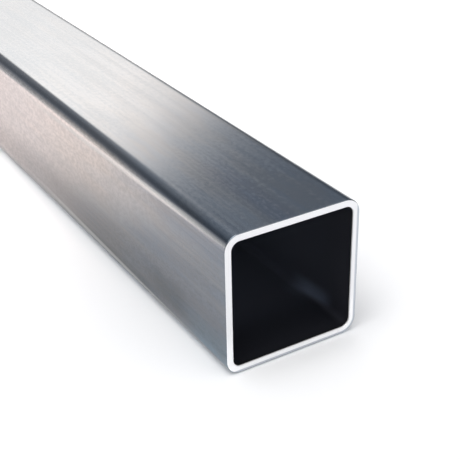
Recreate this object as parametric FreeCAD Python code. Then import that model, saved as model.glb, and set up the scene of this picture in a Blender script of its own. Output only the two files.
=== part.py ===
import FreeCAD, Part
import math
import os

# One stock length of square steel tube, cold-formed from strip and sawn off square at both ends.
# It lies on a flat side. The origin is in the middle of that side, +Y runs along the tube to its
# back end, and +Z points up. The end that faces -Y is the front one. Sizes are in millimetres.

side = 60.0  # outside width and height of the section
wall = 3.0  # thickness of the strip, the same all round
inner_bend_radius = 3.6  # inside radius of the four bends
length = 1000.0  # from saw cut to saw cut
outer_edge_round = 0.6  # where the saw burr is dressed off round the outside of each end
inner_edge_round = 0.3  # the same round the mouth of the bore

# Both faces of the strip turn about one centre at a bend, so the wall keeps its thickness there.
outer_bend_radius = inner_bend_radius + wall
bore = side - 2 * wall

# Two coordinates closer than this are the same.
same_place = 1e-4


def rounded_square(width, corner_radius):
    """Outline of the section, round the tube's axis in the plane of the front end.

    One flat and the bend after it are drawn, and three quarter turns repeat them."""
    half = width / 2
    flat_end = half - corner_radius
    mid_bend = flat_end + corner_radius * math.sqrt(0.5)
    edges = []
    for quarter in range(4):
        turn = FreeCAD.Rotation(FreeCAD.Vector(0, 1, 0), -90 * quarter)

        def place(x, z):
            spot = turn.multVec(FreeCAD.Vector(x, 0, z))
            return spot + FreeCAD.Vector(0, -length / 2, 0)

        flat = Part.LineSegment(place(-flat_end, -half), place(flat_end, -half))
        bend = Part.Arc(place(flat_end, -half), place(mid_bend, -mid_bend), place(half, -flat_end))
        edges += [flat.toShape(), bend.toShape()]
    return Part.Wire(edges)


def rim_edges(tube, width):
    """The edges in the two sawn faces that follow the outline of this width."""
    chosen = []
    for edge in tube.Edges:
        box = edge.BoundBox
        lies_in_an_end = abs(abs(box.Center.y) - length / 2) < same_place
        reach = max(-box.XMin, box.XMax, -box.ZMin, box.ZMax)
        if lies_in_an_end and abs(reach - width / 2) < same_place:
            chosen.append(edge)
    return chosen


def square_tube():
    """The wall drawn as one face with the bore as its hole, and run along the whole length."""
    outline = rounded_square(side, outer_bend_radius)
    hole = rounded_square(bore, inner_bend_radius)
    section = Part.makeFace([outline, hole], "Part::FaceMakerBullseye")
    tube = section.extrude(FreeCAD.Vector(0, length, 0))
    tube = tube.makeFillet(outer_edge_round, rim_edges(tube, side))
    tube = tube.makeFillet(inner_edge_round, rim_edges(tube, bore))
    tube.translate(FreeCAD.Vector(0, 0, side / 2))
    return tube


os.makedirs("parts", exist_ok=True)
tube = square_tube()
tube.exportStep("parts/square_tube.step")
print("solids", len(tube.Solids), "faces", len(tube.Faces), "valid", tube.isValid())
print("volume mm3", round(tube.Volume, 1), "box", tube.BoundBox)
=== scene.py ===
# %% [markdown]
# A stock length of square steel tube, dressed for its picture
#
# This lesson makes the tube again as a finer mesh with the tools that you would use by hand,
# gives it the finishes of the real thing, and lights it like a small product picture. Every
# length is in metres. +Y runs along the tube, +Z points up, and the sawn end that the camera sees
# faces -Y.

# %% The frame and its box
import math
import bmesh
import bpy
from mathutils import Matrix, Vector


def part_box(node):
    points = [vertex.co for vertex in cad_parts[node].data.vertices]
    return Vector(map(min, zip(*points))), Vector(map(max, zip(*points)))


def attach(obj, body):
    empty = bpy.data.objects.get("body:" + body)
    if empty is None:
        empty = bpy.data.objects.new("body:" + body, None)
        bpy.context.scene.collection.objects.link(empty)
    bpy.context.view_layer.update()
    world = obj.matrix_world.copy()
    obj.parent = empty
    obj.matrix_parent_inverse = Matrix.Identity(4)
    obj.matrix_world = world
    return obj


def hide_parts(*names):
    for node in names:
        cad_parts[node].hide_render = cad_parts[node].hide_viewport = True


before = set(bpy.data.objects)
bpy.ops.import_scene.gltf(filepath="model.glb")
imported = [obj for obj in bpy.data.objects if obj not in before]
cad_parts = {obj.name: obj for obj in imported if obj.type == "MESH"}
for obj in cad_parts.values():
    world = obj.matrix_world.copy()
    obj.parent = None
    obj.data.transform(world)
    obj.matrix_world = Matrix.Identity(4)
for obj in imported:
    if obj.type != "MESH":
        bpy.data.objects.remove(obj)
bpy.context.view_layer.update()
low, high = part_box("square_tube")
print("tube box in mm", [round(1000 * x, 2) for x in low], [round(1000 * x, 2) for x in high])

# %% [markdown]
# The section is 60 mm square with a 3 mm wall. The strip is folded round rolls, so at each corner
# its inside turns at a small radius and its outside at that radius plus the wall, about one
# centre. After sawing, the sharp burr is taken off all round both rims. The box above gives the
# width and the length, and the other sizes are those of the CAD part.

# %% Sizes of the section
side = high.x - low.x
length = high.y - low.y
middle = (low + high) / 2
wall = 0.003
inner_bend = 0.0036
outer_bend = inner_bend + wall
outer_edge_round = 0.0006
inner_edge_round = 0.0003
print(f"section {side * 1000:.1f} mm, wall {wall * 1000:.1f} mm, length {length * 1000:.0f} mm")

# %% [markdown]
# Operators act on whatever is selected, and the CAD tube comes in selected. So the first habit is
# to deselect everything, and the second is to pick faces and edges in code, by where they are.
# Each helper below asks a question of every face or edge of the piece that is in edit mode, and
# selects those that answer yes.


# %% Helpers that select
def deselect_all():
    """Leave object mode with nothing selected."""
    if bpy.context.object and bpy.context.object.mode != "OBJECT":
        bpy.ops.object.mode_set(mode="OBJECT")
    bpy.ops.object.select_all(action="DESELECT")


def pick(kind, wanted):
    """In edit mode, select the edges or faces for which wanted(it) is true, and count them."""
    bpy.ops.mesh.select_mode(type=kind)
    bpy.ops.mesh.select_all(action="DESELECT")
    net = bmesh.from_edit_mesh(bpy.context.object.data)
    net.normal_update()
    things = net.edges if kind == "EDGE" else net.faces
    for thing in things:
        thing.select_set(wanted(thing))
    picked = sum(thing.select for thing in things)
    bmesh.update_edit_mesh(bpy.context.object.data)
    return picked


def from_axis(face):
    """From the tube's long axis straight out to the middle of a face."""
    out = face.calc_center_median() - middle
    out.y = 0
    return out


def is_end(face):
    """Whether a face is square to the tube's length."""
    return abs(face.normal.y) > 0.999


def is_bore(face):
    """Whether a face lies along the tube and looks in towards its axis."""
    return from_axis(face).dot(face.normal) < 0 and not is_end(face)


print("the axis passes through", [round(1000 * x, 1) for x in middle], "mm")

# %% [markdown]
# The outside of the tube starts as a solid bar. A box of the right size would do for a wooden
# batten, but here the four long edges are the bends of the strip, so they are bevelled to the
# outside bend radius. Sixteen facets a bend keep the long reflections on it smooth: a bend this
# bright shows every facet of a coarse one.

# %% A solid bar with the four outside bends
facets_a_bend = 16
deselect_all()
bpy.ops.mesh.primitive_cube_add(size=1, location=middle, scale=(side, length, side))
tube = bpy.context.object
tube.name = "tube"
tube.data.name = "tube"
bpy.ops.object.transform_apply(location=True, rotation=True, scale=True)
bpy.ops.object.mode_set(mode="EDIT")
long_edges = pick("EDGE", lambda edge: edge.calc_length() > length / 2)
bpy.ops.mesh.bevel(offset=outer_bend, segments=facets_a_bend, profile=0.5, affect="EDGES")
print("long edges bent:", long_edges)

# %% [markdown]
# A saw leaves a burr, and it is dressed off before the tube is handled. The outside of each rim is
# rounded by a little over half a millimetre. That is small, but it draws the thin grey line
# between the bright ring and whatever lies behind it. It is done now, while the end is one face
# and its outline is easy to select: the end faces are picked, and their border becomes the edges.

# %% Dressing the outside of both rims
facets_outer_round = 5
ends = pick("FACE", is_end)
bpy.ops.mesh.region_to_loop()
bpy.ops.mesh.bevel(
    offset=outer_edge_round, segments=facets_outer_round, profile=0.5, affect="EDGES"
)
print("ends dressed outside:", ends)

# %% [markdown]
# The bore could be cut with a second bar and a Boolean, but an inset is cleaner. It steps both end
# faces inwards, which makes the sawn ring, and since it keeps its distance all round, each inside
# bend comes out on the outside bend's centre, as in the folded strip. Bridging the two inner faces
# takes them away and runs the walls of the bore from end to end. Then the mouth is dressed too.

# %% The sawn ring, the bore and its dressed mouths
facets_inner_round = 3
pick("FACE", is_end)
bpy.ops.mesh.inset(thickness=wall - outer_edge_round, depth=0, use_even_offset=True)
mouths = pick("FACE", lambda face: is_end(face) and from_axis(face).length < wall)
bpy.ops.mesh.bridge_edge_loops()
bore_faces = pick("FACE", is_bore)
bpy.ops.mesh.region_to_loop()
bpy.ops.mesh.bevel(
    offset=inner_edge_round, segments=facets_inner_round, profile=0.5, affect="EDGES"
)
print("mouths opened:", mouths, "faces round the bore:", bore_faces)

# %% [markdown]
# Smooth shading mixes the directions of the faces that meet at a point. On a wide flat next to a
# narrow bend that would tilt the flat's edges and make it look pillowed. The Weighted Normal
# modifier lets the large face win, so the flats stay flat and the bends stay round.

# %% Smooth bends beside true flats
smooth_up_to = math.radians(40)
bpy.ops.mesh.select_all(action="SELECT")
bpy.ops.mesh.normals_make_consistent(inside=False)
bpy.ops.object.mode_set(mode="OBJECT")
bpy.ops.object.shade_smooth_by_angle(angle=smooth_up_to)
weights = tube.modifiers.new("flats_win", "WEIGHTED_NORMAL")
weights.mode = "FACE_AREA"
weights.keep_sharp = True
bpy.ops.object.modifier_apply(modifier=weights.name)
print("faces:", len(tube.data.polygons))

# %% [markdown]
# A finish is a small network of nodes. Written out by hand, one network fills a page, and most of it
# repeats the same few steps: a noise, a ramp from one value to another, a product, a mix of two
# colours. So each step gets a helper with a plain name, and the finishes further down read like a
# recipe. Noise is always measured in metres across and along the tube, never in arbitrary units.


# %% Helpers for the finishes
def new_finish(name):
    """A material with its node tree and its shader."""
    finish = bpy.data.materials.new(name)
    finish.use_nodes = True
    return finish, finish.node_tree, finish.node_tree.nodes["Principled BSDF"]


def add(tree, kind, **properties):
    """Add a node and set its properties."""
    node = tree.nodes.new(kind)
    for name, value in properties.items():
        setattr(node, name, value)
    return node


def stretched_noise(tree, across, along, detail=2.0, roughness=0.5):
    """Noise whose blotches are this wide across the tube and this long along it, in metres."""
    place = add(tree, "ShaderNodeTexCoord")
    scale = add(tree, "ShaderNodeMapping")
    scale.inputs["Scale"].default_value = (1 / across, 1 / along, 1 / across)
    noise = add(tree, "ShaderNodeTexNoise")
    noise.inputs["Scale"].default_value = 1.0
    noise.inputs["Detail"].default_value = detail
    noise.inputs["Roughness"].default_value = roughness
    tree.links.new(place.outputs["Object"], scale.inputs["Vector"])
    tree.links.new(scale.outputs["Vector"], noise.inputs["Vector"])
    return noise.outputs["Fac"]


def ramp(tree, value, between, gives, curve="SMOOTHSTEP"):
    """While a value runs between two numbers, the result runs softly from one number to another."""
    span = add(tree, "ShaderNodeMapRange", interpolation_type=curve)
    span.inputs["From Min"].default_value = between[0]
    span.inputs["From Max"].default_value = between[1]
    span.inputs["To Min"].default_value = gives[0]
    span.inputs["To Max"].default_value = gives[1]
    tree.links.new(value, span.inputs["Value"])
    return span.outputs["Result"]


def maths(tree, operation, first, second=0.0):
    """A Math node on two sockets or numbers."""
    node = add(tree, "ShaderNodeMath", operation=operation)
    for socket, value in zip(node.inputs, (first, second)):
        if isinstance(value, (int, float)):
            socket.default_value = value
        else:
            tree.links.new(value, socket)
    return node.outputs["Value"]


def product(tree, *factors):
    """All the factors multiplied."""
    result = factors[0]
    for factor in factors[1:]:
        result = maths(tree, "MULTIPLY", result, factor)
    return result


def brightest(tree, *levels):
    """The highest of several levels."""
    result = levels[0]
    for level in levels[1:]:
        result = maths(tree, "MAXIMUM", result, level)
    return result


def mix_colours(tree, blend_type, amount, first, second):
    """A colour Mix node. The amount is a number or a socket, and so is each colour."""
    node = add(tree, "ShaderNodeMix", data_type="RGBA", blend_type=blend_type)
    if isinstance(amount, (int, float)):
        node.inputs["Factor"].default_value = amount
    else:
        tree.links.new(amount, node.inputs["Factor"])
    sockets = [socket for socket in node.inputs if socket.type == "RGBA"]
    for socket, colour in zip(sockets, (first, second)):
        if isinstance(colour, tuple):
            socket.default_value = (*colour, 1)
        else:
            tree.links.new(colour, socket)
    return next(socket for socket in node.outputs if socket.type == "RGBA")


def blend_colours(tree, amount, first, second):
    """From the first colour to the second as the amount goes from 0 to 1."""
    return mix_colours(tree, "MIX", amount, first, second)


def times(tree, colour, factor):
    """A colour multiplied by a second colour."""
    return mix_colours(tree, "MULTIPLY", 1.0, colour, factor)


def dent(tree, height, depth, before=None):
    """A Bump node: height from 0 to 1 becomes a relief this deep, in metres."""
    node = add(tree, "ShaderNodeBump")
    node.inputs["Strength"].default_value = 1.0
    node.inputs["Distance"].default_value = depth
    tree.links.new(height, node.inputs["Height"])
    if before is not None:
        tree.links.new(before, node.inputs["Normal"])
    return node.outputs["Normal"]


print("helpers ready for", tube.name)

# %% [markdown]
# The finishes below depend on where a point lies: near a sawn end, on a bend, or on a flat. Object
# coordinates give that place in metres, since the finished tube sits at the origin, unturned and
# unscaled. The two ends are alike, so the distance is taken from the nearer one. A side is known by
# its distance from the axis, and a noise is split in two by a ramp in the middle of its range,
# which it seldom leaves.


# %% Where a point lies on the tube
def tube_place(tree):
    """Three sockets: across from the axis, from the nearer sawn end, and up from the axis."""
    place = add(tree, "ShaderNodeTexCoord")
    parts = add(tree, "ShaderNodeSeparateXYZ")
    tree.links.new(place.outputs["Object"], parts.inputs["Vector"])
    from_middle = maths(tree, "ABSOLUTE", parts.outputs["Y"])
    from_end = maths(tree, "SUBTRACT", length / 2, from_middle)
    up = maths(tree, "SUBTRACT", parts.outputs["Z"], side / 2)
    return parts.outputs["X"], from_end, up


flat_half = side / 2 - outer_bend
at_the_skin = (side / 2 - 0.0020, side / 2 - 0.0010)
soft_split = (0.38, 0.62)
sharp_split = (0.40, 0.60)
no_change = (1.0, 1.0, 1.0)
print(f"each flat reaches {flat_half * 1000:.1f} mm to either side of its middle")

# %% [markdown]
# The strip is cold-rolled, which leaves a bright grey skin with fine lines that run along the tube.
# One even grey would look like plastic. Three noises make it live: hair lines, soft clouds as long
# as a finger, and a short grain. Together they choose between two greys that are close to each
# other, because the eye finds a strong pattern false on clean steel. The broad lines are made here
# too, and wait for the relief.

# %% The rolled skin: two greys
skin, tree, shader = new_finish("rolled_skin")
steel_light = (0.530, 0.524, 0.520)
steel_dark = (0.470, 0.477, 0.482)
across, from_end, up = tube_place(tree)
hair_lines = stretched_noise(tree, across=0.0013, along=0.09, detail=3.0)
broad_lines = stretched_noise(tree, across=0.004, along=0.2)
clouds = stretched_noise(tree, across=0.02, along=0.05, detail=3.0)
grain = stretched_noise(tree, across=0.0014, along=0.0024, detail=3.0, roughness=0.65)
hair_share = 0.30
cloud_share = 0.25
grain_share = 1 - hair_share - cloud_share
tone = product(tree, hair_lines, hair_share)
tone = maths(tree, "ADD", tone, product(tree, clouds, cloud_share))
tone = maths(tree, "ADD", tone, product(tree, grain, grain_share))
light_or_dark = ramp(tree, tone, between=sharp_split, gives=(0.0, 1.0))
steel = blend_colours(tree, light_or_dark, steel_dark, steel_light)
print("greys of the skin:", steel_dark, steel_light)

# %% [markdown]
# Towards the sawn end the skin is painted darker and bluer. This is painted shade, which stands in
# for the dim surroundings that the steel mirrors near its end. It fades out over a hand's breadth
# or two. Its edge is made ragged with the clouds, it is streaked with the grain, and on the sides
# it reaches further along the bottom. On the top it reaches further on the right. It is a colour
# that multiplies the steel, so that the lines below still show through.

# %% The rolled skin: painted shade near the ends
# Painted shade: the skin darker and bluer near each sawn end.
painted_end_shade = (0.440, 0.500, 0.560)
end_shade_reach = 0.165
ragged_by = 0.05
reaches_lower_by = 0.102
further_right = 0.7
uneven = product(tree, maths(tree, "SUBTRACT", clouds, 0.5), ragged_by)
extra_reach = ramp(tree, up, between=(0.020, -0.018), gives=(0.0, reaches_lower_by))
extra_reach = maths(tree, "ADD", extra_reach, product(tree, across, further_right))
shade_distance = maths(tree, "SUBTRACT", maths(tree, "ADD", from_end, uneven), extra_reach)
near_end = ramp(tree, shade_distance, between=(0.0, end_shade_reach), gives=(1.0, 0.0))
streaked = ramp(tree, tone, between=sharp_split, gives=(0.75, 1.20))
stains_and_painted_light = blend_colours(tree, product(tree, near_end, streaked), no_change, painted_end_shade)
print(f"the film reaches {end_shade_reach * 1000:.0f} mm, and {reaches_lower_by * 1000:.0f} mm more low down")

# %% [markdown]
# The upright sides get tints that follow the light they mirror: painted light and shade. The
# first few centimetres from each end are a shade darker and warmer, and low down at the very end a
# patch is painted cool, a painted reflection. The next hand's breadth is painted warmer and
# brighter, a painted warm reflection, and further in the tint eases to a slight warmth. The whole
# lower half is painted darker, which is painted shade. The same short grain that streaks the end
# shade breaks this up. The sides are found from the place alone: on them a point is half the
# tube's width off the axis.

# %% The rolled skin: painted light and shade on the upright sides
# Painted light and shade on the sides: a cool and a warm painted reflection near the ends.
painted_side_at_end = (0.975, 0.930, 0.935)
painted_cool_reflection = (1.000, 1.080, 1.140)
painted_warm_reflection = (1.080, 1.000, 0.950)
painted_side_far_in = (1.010, 0.970, 0.960)
# Painted shade: the lower half of each side darker.
painted_lower_shade = (0.84, 0.83, 0.825)
smudge_dark = (0.92, 0.92, 0.92)
smudge_light = (1.07, 1.07, 1.07)
warm_reflection_from = 0.10
aside = maths(tree, "ABSOLUTE", across)
on_upright = ramp(tree, aside, between=at_the_skin, gives=(0.0, 1.0))
low_down = product(
    tree,
    ramp(tree, up, between=(-0.008, -0.020), gives=(0.0, 1.0)),
    ramp(tree, from_end, between=(0.015, 0.040), gives=(1.0, 0.0)),
)
painted_end_tint = blend_colours(tree, low_down, painted_side_at_end, painted_cool_reflection)
past_end_part = ramp(tree, from_end, between=(0.03, warm_reflection_from), gives=(0.0, 1.0))
painted_side_light = blend_colours(tree, past_end_part, painted_end_tint, painted_warm_reflection)
far_in = ramp(tree, from_end, between=(0.13, 0.20), gives=(0.0, 1.0))
painted_side_light = blend_colours(tree, far_in, painted_side_light, painted_side_far_in)
lower_half = ramp(tree, up, between=(-0.002, -0.016), gives=(0.0, 1.0))
painted_side_light = times(tree, painted_side_light, blend_colours(tree, lower_half, no_change, painted_lower_shade))
smudged = ramp(tree, grain, between=soft_split, gives=(0.0, 1.0))
painted_side_light = times(tree, painted_side_light, blend_colours(tree, smudged, smudge_dark, smudge_light))
stains_and_painted_light = times(tree, stains_and_painted_light, blend_colours(tree, on_upright, no_change, painted_side_light))
print(f"the grip ends {warm_reflection_from * 1000:.0f} mm from each sawn end")

# %% [markdown]
# Low on the sides two places are painted darker: painted shade, where the side mirrors the shade
# on the paper close to it. One is a patch as wide as two fingers, not far from the end, and one a
# thin strip further in, just above the lower bend. Each is a product of ramps, and the stronger of
# the two counts.

# %% The rolled skin: painted shade low on the sides
# Painted shade: two darker places low on each side.
painted_low_shade = (0.85, 0.86, 0.85)
low_shade_patch = product(
    tree,
    ramp(tree, up, between=(-0.006, -0.012), gives=(0.0, 1.0)),
    ramp(tree, up, between=(-0.0185, -0.0220), gives=(1.0, 0.0)),
    ramp(tree, from_end, between=(0.026, 0.038), gives=(0.0, 1.0)),
    ramp(tree, from_end, between=(0.050, 0.070), gives=(1.0, 0.0)),
)
low_shade_strip = product(
    tree,
    ramp(tree, up, between=(-0.0185, -0.0220), gives=(0.0, 1.0)),
    ramp(tree, from_end, between=(0.050, 0.070), gives=(0.0, 1.0)),
    ramp(tree, from_end, between=(0.120, 0.150), gives=(1.0, 0.0)),
)
low_shaded = product(tree, on_upright, brightest(tree, low_shade_patch, low_shade_strip))
stains_and_painted_light = times(tree, stains_and_painted_light, blend_colours(tree, low_shaded, no_change, painted_low_shade))
print("dirt multiplies the film by", painted_low_shade)

# %% [markdown]
# A paler band runs along each upright side above its middle, near the ends. Other tubes slid along
# this one in the rack and left a pale streak near its ends on the top and on the underside, with a
# dull streak of dried oil beside it. The same oil stained the skin in patches, warmer here and
# cooler there, and fainter further in. All of them multiply the same tint.


# %% The rolled skin: streaks and stains
def streak_at(tree, sideways, centre, half_width, fades):
    """1 on a soft streak along the tube that fades between two distances from the sawn end."""
    off = maths(tree, "ABSOLUTE", maths(tree, "SUBTRACT", sideways, centre))
    band = ramp(tree, off, between=(half_width * 0.5, half_width), gives=(1.0, 0.0))
    return product(tree, band, ramp(tree, from_end, between=fades, gives=(1.0, 0.0)), streaked)


side_streak = (1.08, 1.07, 1.05)
top_streak = (1.15, 1.14, 1.13)
dull_streak = (0.90, 0.91, 0.95)
stain_cool = (0.975, 0.997, 1.020)
stain_warm = (1.025, 1.003, 0.980)
above = maths(tree, "ABSOLUTE", up)
on_level = ramp(tree, above, between=at_the_skin, gives=(0.0, 1.0))
pale_band = streak_at(tree, up, centre=0.0120, half_width=0.0070, fades=(0.055, 0.095))
pale_band = product(tree, on_upright, pale_band)
stains_and_painted_light = times(tree, stains_and_painted_light, blend_colours(tree, pale_band, no_change, side_streak))
pale_band = streak_at(tree, across, centre=-0.0155, half_width=0.0055, fades=(0.018, 0.038))
pale_band = product(tree, on_level, pale_band)
stains_and_painted_light = times(tree, stains_and_painted_light, blend_colours(tree, pale_band, no_change, top_streak))
oiled = streak_at(tree, across, centre=-0.0035, half_width=0.0075, fades=(0.035, 0.065))
oiled = product(tree, on_level, oiled)
stains_and_painted_light = times(tree, stains_and_painted_light, blend_colours(tree, oiled, no_change, dull_streak))
stains = stretched_noise(tree, across=0.007, along=0.035)
stained = ramp(tree, stains, between=soft_split, gives=(0.0, 1.0))
stain = blend_colours(tree, stained, stain_cool, stain_warm)
unstained = ramp(tree, from_end, between=(0.06, 0.15), gives=(0.0, 0.8))
stains_and_painted_light = times(tree, stains_and_painted_light, blend_colours(tree, unstained, stain, no_change))
print("streaks", side_streak, top_streak, dull_streak, "stains", stain_cool, stain_warm)

# %% [markdown]
# The upper bends are painted darker than the flats: a painted reflection of the dim ceiling that
# they mirror. On a bend, a point is far from the axis both ways, so the smaller of its two distances
# tells a bend from a flat. The dark band is wider on the right-hand bend, and further in it sits a
# millimetre lower. The lower two bends are painted brighter, a painted reflection of the bright
# paper, near the ends and again from a hand's breadth on, and most of all at their lowest. The flat
# underside is not: a last ramp keeps this painted highlight off it.

# %% The rolled skin: painted reflections on the bends
# Painted reflections: the upper bends darker, the lower bends and their lowest part brighter.
painted_bend_shade = (0.60, 0.62, 0.64)
painted_bend_highlight = (1.26, 1.27, 1.27)
painted_lowest_highlight = (1.50, 1.50, 1.50)
dark_from = flat_half + 0.0016
dark_whole = flat_half + 0.0040
sinks_by = ramp(tree, from_end, between=(0.10, 0.24), gives=(0.0, 0.0010))
both_ways = maths(
    tree,
    "MINIMUM",
    maths(tree, "SUBTRACT", aside, sinks_by),
    maths(tree, "ADD", above, sinks_by),
)
right_hand = ramp(tree, across, between=(-0.01, 0.01), gives=(0.0, 0.0024))
both_ways = maths(tree, "ADD", both_ways, right_hand)
on_bend = ramp(tree, both_ways, between=(dark_from, dark_whole), gives=(0.0, 1.0))
on_bend = product(tree, on_bend, ramp(tree, up, between=(-0.010, 0.0), gives=(0.2, 1.0)))
stains_and_painted_light = times(tree, stains_and_painted_light, blend_colours(tree, on_bend, no_change, painted_bend_shade))
on_lower_bend = ramp(tree, up, between=(-0.0205, -0.0240), gives=(0.0, 1.0))
highlight_reach = brightest(
    tree,
    ramp(tree, from_end, between=(0.03, 0.06), gives=(1.0, 0.1)),
    ramp(tree, from_end, between=(0.10, 0.15), gives=(0.1, 0.7)),
)
off_underside = ramp(tree, aside, between=(flat_half - 0.0010, flat_half), gives=(0.0, 1.0))
on_lower_bend = product(tree, on_lower_bend, highlight_reach, off_underside)
stains_and_painted_light = times(tree, stains_and_painted_light, blend_colours(tree, on_lower_bend, no_change, painted_bend_highlight))
lowest_part = ramp(tree, up, between=(-0.0245, -0.0272), gives=(0.0, 1.0))
lowest_part = product(tree, lowest_part, off_underside)
stains_and_painted_light = times(tree, stains_and_painted_light, blend_colours(tree, lowest_part, no_change, painted_lowest_highlight))
print(f"the bends darken from {dark_from * 1000:.1f} to {dark_whole * 1000:.1f} mm off the axis")

# %% [markdown]
# Just where a bend runs out into an upright side, a narrow bright line is painted: a painted
# reflection of the bright paper far out beside the tube. It starts faintly at the sawn end, creeps
# from the bend on to the flat with the distance, and fades along the tube. It takes the place of
# the tint, rather than multiplying it. The lowest round of each rim is painted brighter too, a
# painted highlight against the shade at its foot.

# %% The rolled skin: painted highlights
# Painted highlights: a bright line along each side, and the lowest round of each rim.
painted_highlight = (0.99, 0.985, 0.965)
painted_rim_highlight = (1.5, 1.5, 1.5)
creep_rate = 0.027
creep_stops = 0.17
creep = product(tree, maths(tree, "MINIMUM", from_end, creep_stops), creep_rate)
line_place = maths(tree, "ADD", above, creep)
line_low = ramp(tree, line_place, between=(0.0254, 0.0261), gives=(0.0, 1.0))
line_high = ramp(tree, line_place, between=(0.0274, 0.0284), gives=(1.0, 0.0))
line_starts = ramp(tree, from_end, between=(0.0, 0.06), gives=(0.55, 0.9))
line_fades = ramp(tree, from_end, between=(0.10, 0.24), gives=(1.0, 0.0))
line = product(tree, line_low, line_high, on_upright, line_starts, line_fades)
stains_and_painted_light = blend_colours(tree, line, stains_and_painted_light, painted_highlight)
at_rim = ramp(tree, from_end, between=(0.0003, 0.0009), gives=(1.0, 0.0))
lowest = ramp(tree, up, between=(-0.0270, -0.0290), gives=(0.0, 1.0))
stains_and_painted_light = times(tree, stains_and_painted_light, blend_colours(tree, product(tree, at_rim, lowest), no_change, painted_rim_highlight))
tree.links.new(times(tree, steel, stains_and_painted_light), shader.inputs["Base Color"])
print(f"the rubbed line creeps {creep_rate * creep_stops * 1000:.1f} mm on to the flat")

# %% [markdown]
# Metal shows its surroundings, so its roughness and its relief say more than its colour. The clouds
# swell by a few hundredths of a millimetre, and the lines and the grain by a few thousandths. That is
# enough to fray the edge of a reflection, and too little to cast a shadow. Seen at a flat angle,
# steel stained like this gets no brighter. The tint of the shader's grazing reflection holds it back.

# %% The rolled skin: roughness and relief
shader.inputs["Metallic"].default_value = 1.0
skin_roughness = ramp(tree, broad_lines, between=(0.3, 0.7), gives=(0.16, 0.19))
tree.links.new(skin_roughness, shader.inputs["Roughness"])
shader.inputs["Specular Tint"].default_value = (0.65, 0.65, 0.65, 1)
relief = dent(tree, clouds, depth=0.000025)
relief = dent(tree, broad_lines, depth=0.000005, before=relief)
relief = dent(tree, hair_lines, depth=0.000001, before=relief)
relief = dent(tree, grain, depth=0.000004, before=relief)
tree.links.new(relief, shader.inputs["Normal"])
print("nodes in the rolled skin:", len(tree.nodes))

# %% [markdown]
# The saw cuts through to clean metal, so the ring at each end is the brightest part. It is matt from
# the teeth. Its low bar mirrors the shade at its own foot, and it is painted the paler of two greys
# to lift that shade: painted light. On the right and at the bottom a greyer band is painted along
# the edge: painted shade. The ring is one flat face, so the band is laid out with the place
# sockets, not with more faces. Beyond the two flats, the root of the two squares is the distance
# from a bend's centre, so the band follows the corner round.

# %% The sawn ends
sawn, tree, shader = new_finish("sawn_end")
bright_cut = (0.84, 0.84, 0.855)
# Painted light: the paler low bar. Painted shade: the grey band on the right and at the bottom.
painted_light_low_bar = (0.99, 0.99, 1.00)
painted_edge_shade = (0.50, 0.53, 0.58)
across, from_end, up = tube_place(tree)
low_side = ramp(tree, up, between=(-0.008, -0.024), gives=(0.0, 1.0))
ring = blend_colours(tree, low_side, bright_cut, painted_light_low_bar)
down = product(tree, up, -1.0)
right_of_flat = maths(tree, "MAXIMUM", maths(tree, "SUBTRACT", across, flat_half), 0.0)
below_flat = maths(tree, "MAXIMUM", maths(tree, "SUBTRACT", down, flat_half), 0.0)
right_squared = product(tree, right_of_flat, right_of_flat)
below_squared = product(tree, below_flat, below_flat)
outwards = maths(tree, "SQRT", maths(tree, "ADD", right_squared, below_squared))
edge_shade_band = (outer_bend - 0.0016, outer_bend - 0.0010)
edge_shade = ramp(tree, outwards, between=edge_shade_band, gives=(0.0, 1.0))
tree.links.new(blend_colours(tree, edge_shade, ring, painted_edge_shade), shader.inputs["Base Color"])
shader.inputs["Metallic"].default_value = 1.0
shader.inputs["Roughness"].default_value = 0.45
print("greys of the sawn ring:", bright_cut, painted_light_low_bar, painted_edge_shade)

# %% [markdown]
# The inside keeps a dark, matt scale, and its colour is painted darker still: painted shade. Deeper
# in it is painted a little paler, which is painted light. The mouth and the floor of the bore near
# it are painted darkest, more painted shade. At the very edge the dressing tool scraped the scale
# off.

# %% The bore: scale, painted shade and painted light
bore, tree, shader = new_finish("bore_scale")
# Dark scale, with painted shade at the mouth and painted light deeper in.
scale_and_mouth_shade = (0.0155, 0.0165, 0.023)
scale_and_deep_light = (0.115, 0.13, 0.175)
painted_floor_shade = (0.50, 0.52, 0.56)
painted_mouth_shade = (0.50, 0.50, 0.50)
across, from_end, up = tube_place(tree)
deeper = ramp(tree, from_end, between=(0.0, 0.088), gives=(0.0, 1.0))
scale = blend_colours(tree, deeper, scale_and_mouth_shade, scale_and_deep_light)
on_floor = ramp(tree, up, between=(-0.0262, -0.0268), gives=(0.0, 1.0))
on_floor = product(tree, on_floor, ramp(tree, from_end, between=(0.012, 0.035), gives=(1.0, 0.0)))
scale = times(tree, scale, blend_colours(tree, on_floor, no_change, painted_floor_shade))
at_mouth = ramp(tree, from_end, between=(0.0010, 0.0035), gives=(1.0, 0.0))
scale = times(tree, scale, blend_colours(tree, at_mouth, no_change, painted_mouth_shade))
print("colour of the scale at the mouth and deep inside:", scale_and_mouth_shade, scale_and_deep_light)

# %% [markdown]
# Low in the right-hand corner a short bluish patch is painted on the wall: a painted reflection of
# the bright mouth in the inner bend. It is lens-shaped: a ramp up and a ramp down along the tube, and
# the same across it. Its height above the floor falls a little with the distance from the end.

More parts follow.
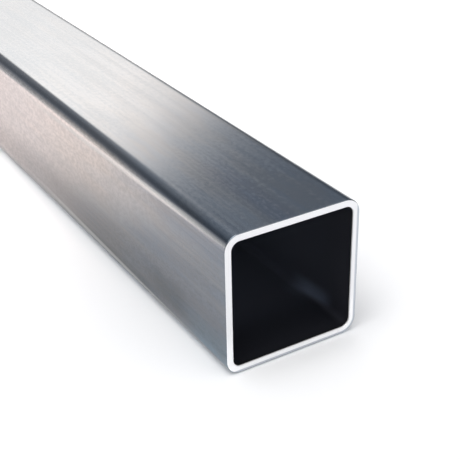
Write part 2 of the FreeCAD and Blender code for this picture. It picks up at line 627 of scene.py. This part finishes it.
# %% The bore: a painted reflection and the scraped edge
# Painted reflection: a bluish patch low on the right-hand wall.
painted_bore_reflection = (2.9, 3.2, 3.3)
scraped_steel = (0.85, 0.85, 0.85)
glint_sinks = 0.08
glint_starts = ramp(tree, from_end, between=(0.010, 0.019), gives=(0.0, 1.0))
glint_stops = ramp(tree, from_end, between=(0.025, 0.042), gives=(1.0, 0.0))
glint_place = maths(tree, "ADD", up, product(tree, from_end, glint_sinks))
glint_low = ramp(tree, glint_place, between=(-0.0253, -0.0231), gives=(0.0, 1.0))
glint_high = ramp(tree, glint_place, between=(-0.0217, -0.0161), gives=(1.0, 0.0))
right_corner = ramp(tree, across, between=(0.019, 0.024), gives=(0.0, 1.0))
glint = product(tree, glint_starts, glint_stops, glint_low, glint_high, right_corner)
scale = times(tree, scale, blend_colours(tree, glint, no_change, painted_bore_reflection))
scraped = ramp(tree, from_end, between=(0.0004, 0.0008), gives=(1.0, 0.0))
tree.links.new(blend_colours(tree, scraped, scale, scraped_steel), shader.inputs["Base Color"])
shader.inputs["Roughness"].default_value = 0.5
print("nodes in the bore's scale:", len(tree.nodes))

# %% [markdown]
# A mesh can carry several materials, one a slot, and each face names its slot. In edit mode the
# faces are picked by where they are, and the slot is assigned to what is picked. The dressed
# outside round keeps the skin's grey up to its last facet, which draws the thin line round the ring.


# %% Giving each face its finish
bright_inside_from = 0.1
bright_outside_from = 0.85


def is_sawn(face):
    """The ring, the whole round of the mouth, and the inner facets of the outside round."""
    inside = from_axis(face).dot(face.normal) < 0
    return abs(face.normal.y) > (bright_inside_from if inside else bright_outside_from)


for finish in (skin, sawn, bore):
    tube.data.materials.append(finish)
deselect_all()
tube.select_set(True)
bpy.context.view_layer.objects.active = tube
bpy.ops.object.mode_set(mode="EDIT")
for slot_number, question in ((2, is_bore), (1, is_sawn)):
    count = pick("FACE", question)
    tube.active_material_index = slot_number
    bpy.ops.object.material_slot_assign()
    print("faces with", tube.data.materials[slot_number].name, count)
bpy.ops.object.mode_set(mode="OBJECT")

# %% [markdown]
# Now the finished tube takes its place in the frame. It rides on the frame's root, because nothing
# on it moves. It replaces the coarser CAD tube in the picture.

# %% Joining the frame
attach(tube, "root")
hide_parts("square_tube")
print("tube size in mm", [round(1000 * x, 2) for x in tube.dimensions])

# %% [markdown]
# The tube lies on a sheet of white paper, much larger than the picture. It is quite matt, so that it
# shows the tube's shadow and no mirror image, and it lies a tenth of a millimetre below the steel,
# so that the two never share a plane.

# %% The floor
sheet_size = 60
sheet_drop = 0.0001
sheet_white = 0.95
deselect_all()
bpy.ops.mesh.primitive_plane_add(size=sheet_size, location=(0, 0, -sheet_drop))
floor = bpy.context.object
floor.name = "floor"
paper, tree, shader = new_finish("white_paper")
shader.inputs["Base Color"].default_value = (sheet_white, sheet_white, sheet_white, 1)
shader.inputs["Roughness"].default_value = 1.0
shader.inputs["Specular IOR Level"].default_value = 0.0
floor.data.materials.append(paper)
print("paper", sheet_size, "m wide at", floor.location.z)

# %% [markdown]
# Bare steel is a mirror with a soft edge, so the studio round it is half of the picture. Cards and
# lamps could be modelled one by one, but here the whole studio is painted on the world, by
# direction in degrees: azimuth turns from +Y towards +X, and elevation rises from the floor.

# %% Directions in the studio
world = bpy.data.worlds.new("studio")
bpy.context.scene.world = world
world.use_nodes = True
tree = world.node_tree
background = tree.nodes["Background"]
toward = add(tree, "ShaderNodeTexCoord")
parts = add(tree, "ShaderNodeSeparateXYZ")
tree.links.new(toward.outputs["Generated"], parts.inputs["Vector"])
degrees = 180 / math.pi
sideways = maths(tree, "ARCTAN2", parts.outputs["X"], parts.outputs["Y"])
azimuth = product(tree, sideways, degrees)
elevation = product(tree, maths(tree, "ARCSINE", parts.outputs["Z"]), degrees)
print("world:", world.name)

# %% [markdown]
# The top of the tube shows a light panel that stands beyond its far end. Its upper edge runs down
# from left to right, and that edge makes the change from pale to dark along the tube. The slant
# below is the elevation with the azimuth added in part: along the panel's edge it is one number.

# %% The light panel beyond the far end
panel_slope = 0.78
panel_level = 1.99
slant = maths(tree, "ADD", elevation, product(tree, azimuth, panel_slope))
panel_edge = ramp(tree, slant, between=(43.0, 49.0), gives=(panel_level, 0))
panel_top = ramp(tree, elevation, between=(30, 36), gives=(1, 0))
panel_foot = ramp(tree, elevation, between=(4, 12), gives=(0.4, 1))
panel_left = ramp(tree, azimuth, between=(0, 11), gives=(0, 1))
panel_right = ramp(tree, azimuth, between=(29, 41), gives=(1, 0.15))
panel = product(tree, panel_edge, panel_top, panel_foot, panel_left, panel_right)
print("the panel shines at", panel_level)

# %% [markdown]
# The rest of the room is plainer: a dim ceiling, lighter on the right and overhead, a low glow and a
# light box on the left, and a white wall behind the camera for the sawn ring. The brightest of them
# wins in each direction. The left-hand box is there for the paper: it softens the shadow, while no
# face of the tube that the camera sees mirrors it.

# %% The walls and the ceiling
dim = 0.24
right_side = 0.40
upper = 0.50
zenith = 0.75
off_centre = maths(tree, "ABSOLUTE", azimuth)
front = product(
    tree,
    ramp(tree, off_centre, between=(95, 125), gives=(0, 1)),
    ramp(tree, elevation, between=(30, 50), gives=(1, 0.85)),
)
left_glow = product(
    tree,
    ramp(tree, elevation, between=(0, 22), gives=(1.1, 0.10), curve="LINEAR"),
    ramp(tree, azimuth, between=(-10, -25), gives=(0, 1)),
)
off_box = maths(tree, "ABSOLUTE", maths(tree, "ADD", azimuth, 95))
left_box = product(
    tree,
    ramp(tree, off_box, between=(20, 35), gives=(3.2, 0)),
    ramp(tree, elevation, between=(38, 48), gives=(0, 1)),
    ramp(tree, elevation, between=(72, 84), gives=(1, 0)),
)
ceiling = brightest(
    tree,
    product(
        tree,
        ramp(tree, azimuth, between=(0, 30), gives=(dim, right_side)),
        ramp(tree, azimuth, between=(33, 38), gives=(1, 0.88)),
    ),
    ramp(tree, elevation, between=(28, 36), gives=(dim, upper)),
    ramp(tree, elevation, between=(40, 52), gives=(dim, zenith)),
)
level = brightest(tree, panel, ceiling, left_box, left_glow, front)
tree.links.new(level, background.inputs["Strength"])
print("walls joined, nodes in the world:", len(tree.nodes))

# %% [markdown]
# Real studio light is never one white. Dim walls are bluish, as shade is, and the panel is warmest
# along its slanted edge, where its lamp shines through the frame. So the colour follows the level,
# and the warmth follows the slant.

# %% The colours of the studio
blue_shade = (0.92, 1.0, 1.16)
warm_edge = (1.06, 1.0, 0.97)
panel_white = (1.0, 1.0, 1.005)
warm = product(
    tree,
    ramp(tree, slant, between=(37, 43), gives=(0, 1)),
    ramp(tree, azimuth, between=(50, 80), gives=(1, 0)),
)
light_colour = blend_colours(tree, warm, panel_white, warm_edge)
is_lit = ramp(tree, level, between=(0.3, 0.9), gives=(0, 1))
tree.links.new(blend_colours(tree, is_lit, blue_shade, light_colour), background.inputs["Color"])
print("shade", blue_shade, "edge", warm_edge)

# %% [markdown]
# Two lamps do the rest. A broad one almost overhead, a little to the left, lights the paper until it
# is white, and lays a soft shadow at the tube's foot. A spot with a blurred edge puts a warm pool of
# light on the paper beside the tube, which its upright side mirrors.


# %% Lamps
def toward_lamp(azimuth_deg, height_deg):
    """The direction to a lamp at this azimuth and elevation."""
    around = math.radians(azimuth_deg)
    upwards = math.radians(height_deg)
    reach = math.cos(upwards)
    return Vector((math.sin(around) * reach, math.cos(around) * reach, math.sin(upwards)))


def new_lamp(name, kind, power):
    """A lamp of this kind in the scene, still at the origin."""
    data = bpy.data.lights.new(name, kind)
    data.energy = power
    lamp = bpy.data.objects.new(name, data)
    bpy.context.scene.collection.objects.link(lamp)
    return lamp


def aim(lamp, backwards):
    """Turn a lamp so that it shines against this direction."""
    lamp.rotation_euler = backwards.to_track_quat("Z", "Y").to_euler()


overhead = new_lamp("overhead", "SUN", power=0.90)
overhead.data.angle = math.radians(40)
aim(overhead, toward_lamp(azimuth_deg=-95, height_deg=80))

pool_middle = Vector((-0.12, -0.09, 0.0))
pool_lamp_place = Vector((0.03, -0.09, 1.5))
pool_colour = (1.0, 0.79, 0.73)
back_pool = new_lamp("back_pool", "SPOT", power=84)
back_pool.data.spot_size = math.radians(22)
back_pool.data.spot_blend = 1.0
back_pool.data.shadow_soft_size = 0.12
back_pool.data.color = pool_colour
back_pool.location = pool_lamp_place
aim(back_pool, pool_lamp_place - pool_middle)
print("lamps:", overhead.name, back_pool.name)

# %% [markdown]
# The camera stands close, a little above the tube and to the left of its near end, so the sides run
# together quickly towards the far end. Its place, its direction and its lens were measured on the
# tube itself: the corners of the ring and the long edges of a 60 mm tube fix all three. The small
# lean is the tilt of the camera in the hand.

# %% The camera
image_side = 460
lens_in_pixels = 1042.1
sensor = 36.0
camera_place = Vector((-0.19044, -0.77412, 0.23805))
heading = math.radians(30.746)
tilt_down = math.radians(28.795)
lean = math.radians(-1.249)
camera_data = bpy.data.cameras.new("camera")
camera_data.sensor_width = sensor
camera_data.lens = lens_in_pixels * sensor / image_side
camera_data.clip_start = 0.01
camera = bpy.data.objects.new("camera", camera_data)
bpy.context.scene.collection.objects.link(camera)
turn = (
    Matrix.Rotation(-heading, 4, "Z")
    @ Matrix.Rotation(math.pi / 2 - tilt_down, 4, "X")
    @ Matrix.Rotation(lean, 4, "Z")
)
camera.matrix_world = Matrix.Translation(camera_place) @ turn
bpy.context.scene.camera = camera
bpy.context.scene.view_settings.view_transform = "Standard"
print(f"lens {camera_data.lens:.1f} mm on a {sensor:.0f} mm sensor")
